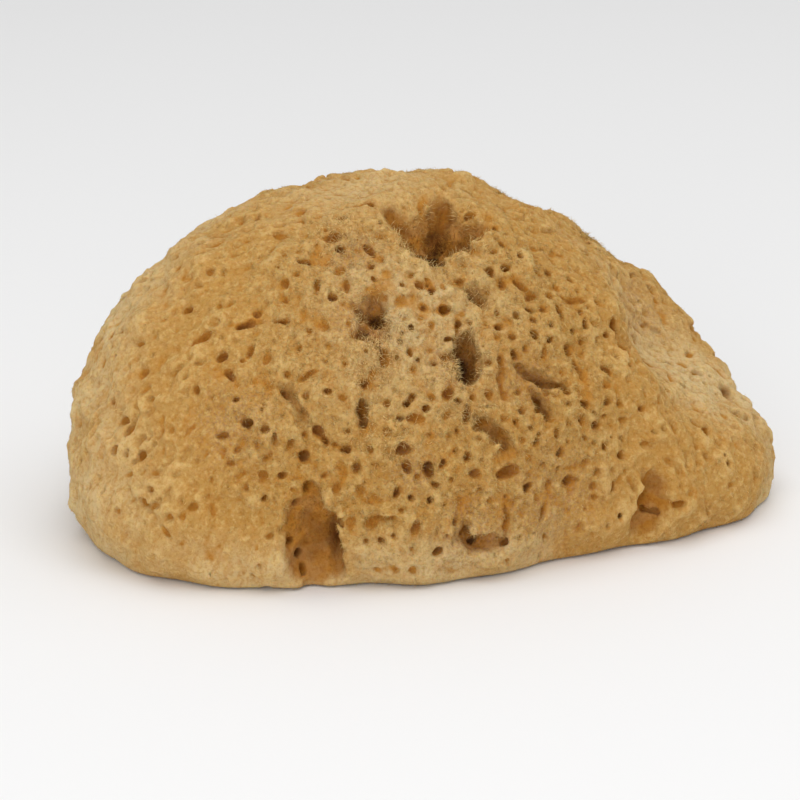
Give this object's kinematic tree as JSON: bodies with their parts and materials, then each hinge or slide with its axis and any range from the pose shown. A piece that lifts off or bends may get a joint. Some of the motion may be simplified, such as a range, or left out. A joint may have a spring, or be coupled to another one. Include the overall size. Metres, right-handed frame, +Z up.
{
  "type": "sea sponge",
  "caption": "Natural bath sponge, a rounded ochre dome with a flat cut base, large outlets, clefts and many round pores.",
  "frame": {"origin": "middle of the cut base's outline box, on the surface the sponge rests on", "axes": "+X along the length to the viewer's right, -Y to the side the picture shows, +Z up through the outlets"},
  "size_m": [0.13, 0.0919, 0.064],
  "materials": {
    "sponge_fibre": "matt, soft and fibrous"
  },
  "bodies": {
    "root": {"sponge": "sponge_fibre"}
  },
  "joints": []
}
